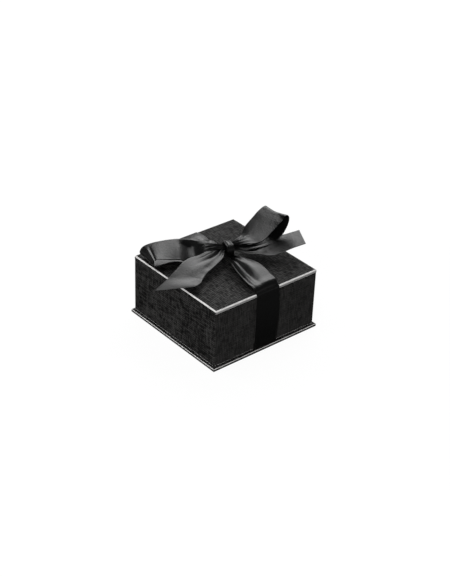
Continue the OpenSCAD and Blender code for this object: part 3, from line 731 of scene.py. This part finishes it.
def change(piece, kind, **settings):
    """Gives the piece one modifier and applies it."""
    modifier = piece.modifiers.new(kind, kind)
    for key, value in settings.items():
        setattr(modifier, key, value)
    bpy.context.view_layer.update()
    seen = piece.evaluated_get(bpy.context.evaluated_depsgraph_get())
    mesh = bpy.data.meshes.new_from_object(seen)
    piece.modifiers.clear()
    piece.data = mesh


def cushion_body(name, low, high, radius, voxel):
    """A block with round edges, remeshed evenly."""
    piece = block_mesh(name, low, high)
    change(piece, "BEVEL", width=radius * MM, segments=6)
    change(piece, "REMESH", mode="VOXEL", voxel_size=voxel * MM)
    return piece


def cut(piece, *tools):
    """Takes the tools' shapes out of the piece."""
    for tool in tools:
        change(piece, "BOOLEAN", operation="DIFFERENCE", solver="EXACT", object=tool)


def points_of(piece):
    return np.array([v.co for v in piece.data.vertices])


def put_points(piece, points):
    piece.data.vertices.foreach_set("co", points.astype(np.float32).ravel())
    piece.data.update()


def swell(piece, held, cap):
    """The points of the piece blown up as stuffed cloth. Those that held(points) marks
    stay, and none moves further than cap."""
    start = points_of(piece)
    piece.data.transform(Matrix.Scale(SIM_SCALE, 4))
    group = piece.vertex_groups.new(name="held")
    group.add(np.flatnonzero(held(start)).tolist(), 1.0, "REPLACE")
    cloth = piece.modifiers.new("swell", "CLOTH").settings
    cloth.vertex_group_mass = "held"
    cloth.use_pressure = True
    cloth.uniform_pressure_force = SIM_PRESSURE
    cloth.effector_weights.gravity = 0
    cloth.quality = SIM_QUALITY
    for number in range(1, SIM_FRAMES + 1):
        scene.frame_set(number)
    seen = piece.evaluated_get(bpy.context.evaluated_depsgraph_get())
    moved = np.array([v.co for v in seen.data.vertices]) / SIM_SCALE - start
    piece.modifiers.clear()
    piece.vertex_groups.clear()
    scene.frame_set(1)
    far = np.linalg.norm(moved, axis=1, keepdims=True)
    return start + moved * np.minimum(1, cap * MM / np.maximum(far, TINY))


def clear_of(points, node, radius, gap):
    """Points moved out, above the foot of a block with round edges, to lie at least the
    gap from it. The points are in metres, the radius and gap in millimetres."""
    low, high = (np.array(corner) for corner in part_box(node))
    foot = low[2]
    low[2] -= FAR_BELOW * MM
    inner = (high - low) / 2 - radius * MM
    middle = (high + low) / 2
    out = np.abs(points - middle) - inner
    past = np.maximum(out, 0)
    far = np.linalg.norm(past, axis=1, keepdims=True)
    nearest = np.eye(3)[np.argmax(out, axis=1)]
    way = np.where(far > 0, past / np.maximum(far, TINY), nearest)
    short = (radius + gap) * MM - np.where(far > 0, far, out.max(axis=1, keepdims=True))
    moved = way * np.sign(points - middle) * np.maximum(short, 0)
    return points + np.where(points[:, 2:] > foot, moved, 0)


def opening(name, low, high, inset, start, end):
    """A tool that opens a cover between two heights, up to the inset from its sides."""
    return block_mesh(
        name, Vector((low.x + inset * MM, low.y + inset * MM, start)),
        Vector((high.x - inset * MM, high.y - inset * MM, end)))


def finish_cushion(piece, look, body, node):
    piece.data.materials.clear()
    piece.data.materials.append(LOOKS[look])
    piece.data.shade_smooth()
    piece.data.set_sharp_from_angle(angle=COVER_SHARP)
    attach(piece, body)
    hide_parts(node)


# In millimetres: the room left for the swelling, the round edge and the remeshed cell; the
# height that is held, the furthest that a point may move, and how far it may rise.
PAD_ROOM, PAD_R, PAD_VOXEL = 0.35, 2.3, 1.3
PAD_HELD, PAD_CAP, PAD_RISE = 4, 0.9, 0.3
PAD_EDGE_R = 1.6             # less than the foam's, so that its corners stay covered
CARD_GAP, CARD_GAP_AFTER, FOAM_GAP = 0.4, 0.3, 0.5
UNDER_INSET, UNDER_DEPTH = 9, 1.6
SLITS = [                    # length, middle and turn in degrees
    (26, 0, 0, 0), (5, -24, 0, 0), (5, 24, 0, 0), (13, 26.2, 25.9, -45),
    (13, -26.2, 25.9, 45)]
SLIT_GAP, SLIT_DEPTH, SLIT_ABOVE = 0.45, 11.5, 3
SLIT_DIP, SLIT_DIP_SPREAD, SLIT_DIP_BELOW = 0.42, 1.1, 1.5


def make_pad():
    """The velvet over the foam pad: crowned, tucked into its slits and turned under the
    card."""
    low, high = (c.copy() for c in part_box("pad_velvet"))
    start_high = high - Vector((0, 0, PAD_ROOM * MM))
    piece = cushion_body("pad_velvet_cover", low, start_high, PAD_R, PAD_VOXEL)
    points = swell(piece, lambda p: p[:, 2] < low.z + PAD_HELD * MM, PAD_CAP)
    points = np.clip(points, low, (high.x, high.y, high.z + PAD_RISE * MM))
    points = clear_of(points, "pad_card", 0, CARD_GAP)
    put_points(piece, clear_of(points, "pad_foam", PAD_EDGE_R, FOAM_GAP))
    change(piece, "SUBSURF", levels=1, render_levels=1)
    points = clear_of(points_of(piece), "pad_card", 0, CARD_GAP_AFTER)
    points = clear_of(points, "pad_foam", PAD_EDGE_R, FOAM_GAP)

    top = points[:, 2] > high.z - SLIT_DIP_BELOW * MM
    tools = [opening(
        "under", low, high, UNDER_INSET, low.z - MM, low.z + UNDER_DEPTH * MM)]
    for length, x, y, degrees in SLITS:
        turn = math.radians(degrees)
        c, s = math.cos(turn), math.sin(turn)
        px, py = points[:, 0] / MM - x, points[:, 1] / MM - y
        run, side = np.abs(px * c + py * s), np.abs(py * c - px * s)
        away = np.hypot(np.maximum(run - length / 2, 0), side)
        points[:, 2] -= np.where(top, SLIT_DIP * hump(away, 0, SLIT_DIP_SPREAD), 0) * MM
        gap = block_mesh("gap", Vector((-length / 2, -SLIT_GAP / 2, -SLIT_DEPTH)) * MM,
                         Vector((length / 2, SLIT_GAP / 2, SLIT_ABOVE)) * MM)
        gap.data.transform(
            Matrix.Translation((x * MM, y * MM, high.z)) @ Matrix.Rotation(turn, 4, "Z"))
        tools.append(gap)
    put_points(piece, points)
    cut(piece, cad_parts["pad_foam"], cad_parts["pad_card"], *tools)
    for tool in tools:
        bpy.data.objects.remove(tool)
    finish_cushion(piece, "velvet", "pad", "pad_velvet")


# The same for the cushion, which may also go out sideways and down.
CUSHION_ROOM, CUSHION_R, CUSHION_VOXEL = 0.25, 1.2, 1.1
CUSHION_HELD, CUSHION_CAP, CUSHION_OUT, CUSHION_DOWN = 1, 0.6, 0.3, 0.1
OVER_INSET, OVER_DEPTH = 8, 2


def make_cushion():
    """The satin over the cushion under the lid's ceiling, swelling a little downwards."""
    low, high = (c.copy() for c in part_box("lid_cushion_satin"))
    start_low = low + Vector((0, 0, CUSHION_ROOM * MM))
    piece = cushion_body("cushion_satin_cover", start_low, high, CUSHION_R, CUSHION_VOXEL)
    points = swell(piece, lambda p: p[:, 2] > high.z - CUSHION_HELD * MM, CUSHION_CAP)
    out = CUSHION_OUT * MM
    put_points(piece, np.clip(
        points, (low.x - out, low.y - out, low.z - CUSHION_DOWN * MM),
        (high.x + out, high.y + out, high.z)))
    change(piece, "SUBSURF", levels=1, render_levels=1)
    tool = opening("over", low, high, OVER_INSET, high.z - OVER_DEPTH * MM, high.z + MM)
    cut(piece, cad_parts["lid_cushion_foam"], tool)
    bpy.data.objects.remove(tool)
    finish_cushion(piece, "satin_lining", "lid", "lid_cushion_satin")


# ------------------------------------------------------------------ studio

FLOOR_HALF = 4.0
FLOOR_DROP = 0.05 * MM       # keeps the floor just off the base's underside
AMBIENT = 0.04               # how brightly the studio itself lights what stands in it
# In the box's gloss the studio is darker, by these shares at the horizon and from a height
# up, and the floor brightens between two distances from the box to the given level.
SKY_HEIGHT, SKY_LOW, SKY_HIGH = 0.25, 0.55, 0.95
GLOSS_NEAR, GLOSS_FAR, GLOSS_FLOOR = 0.1, 1.4, 0.6

# Square softboxes that face the box: place, size, power, and whether the gloss mirrors
# them. One that it doesn't lights only the matt surfaces, as if flagged off the satin.
LAMPS = [
    ("key", (0.78, 0.72, 0.95), 1.1, 17, True),
    ("top", (-0.3, 0.25, 1.35), 0.6, 6.5, True),
    ("front_edge", (0.66, -0.36, 0.94), 0.2, 2.4, False),
    ("left_edge", (-0.36, 0.77, 0.84), 0.2, 2.4, False),
    ("fill", (-1.05, -0.7, 0.3), 0.6, 20, False)]


def light_kinds(tree):
    """1 for rays from the camera, from gloss and through glass and 0 for the rest, and
    1 for those from gloss alone."""
    path = tree.make("ShaderNodeLightPath").outputs
    glossy = path["Is Glossy Ray"]
    seen = tree.add(path["Is Camera Ray"], glossy, path["Is Transmission Ray"])
    return tree.math("MINIMUM", seen, 1.0), glossy


def make_world():
    world = bpy.data.worlds.new("studio")
    scene.world = world
    tree = Tree(world)
    background = tree.nodes["Background"].inputs
    seen, glossy = light_kinds(tree)
    way = tree.make("ShaderNodeTexCoord").outputs["Generated"]
    height = tree.make("ShaderNodeSeparateXYZ", {0: way}).outputs[2]
    darker = tree.times(glossy, tree.span(height, 0.0, SKY_HEIGHT, SKY_LOW, SKY_HIGH))
    bright = tree.math("SUBTRACT", 1.0 - AMBIENT, darker)
    background["Color"].default_value = (1, 1, 1, 1)
    tree.put(background["Strength"], tree.math("MULTIPLY_ADD", seen, bright, AMBIENT))


def make_floor():
    """Pale paper that shows white, a little less so near the box."""
    mesh = bpy.data.meshes.new("floor")
    r = FLOOR_HALF
    mesh.from_pydata([(-r, -r, 0), (r, -r, 0), (r, r, 0), (-r, r, 0)], [], [(0, 1, 2, 3)])
    floor = bpy.data.objects.new("floor", mesh)
    floor.location.z = -FLOOR_DROP
    scene.collection.objects.link(floor)
    f = Finish("floor_paper", Roughness=1.0, Specular_IOR_Level=0.0)
    away = f.make("ShaderNodeVectorMath", {0: f.place}, operation="LENGTH").outputs[1]
    seen, glossy = light_kinds(f)
    direct = f.span(away, 0.1, 0.4, 0.95, 1.0)
    mirrored = f.span(away, GLOSS_NEAR, GLOSS_FAR, 0.0, GLOSS_FLOOR)
    level = f.add(
        f.times(direct, f.math("SUBTRACT", 1.0, glossy)), f.times(mirrored, glossy))
    f.shader.inputs["Emission Color"].default_value = (1, 1, 1, 1)
    f.put(f.shader.inputs["Emission Strength"], f.times(seen, level))
    grain = f.noise(f.place, 900, 3)
    mesh.materials.append(f.finish(f.mix(grain, grey(0.04), grey(0.05))))


def make_lamps():
    for name, place, size, power, mirrored in LAMPS:
        data = bpy.data.lights.new(name, "AREA")
        data.shape = "SQUARE"
        data.size = size
        data.energy = power
        lamp = bpy.data.objects.new(name, data)
        lamp.location = place
        lamp.visible_glossy = mirrored
        lamp.rotation_euler = Vector(place).to_track_quat("Z", "Y").to_euler()
        scene.collection.objects.link(lamp)


# ------------------------------------------------------------------ all together

place_camera()
dress_frame()
make_ribbons()
make_pad()
make_cushion()
make_world()
make_floor()
make_lamps()
scene.view_settings.view_transform = "Standard"
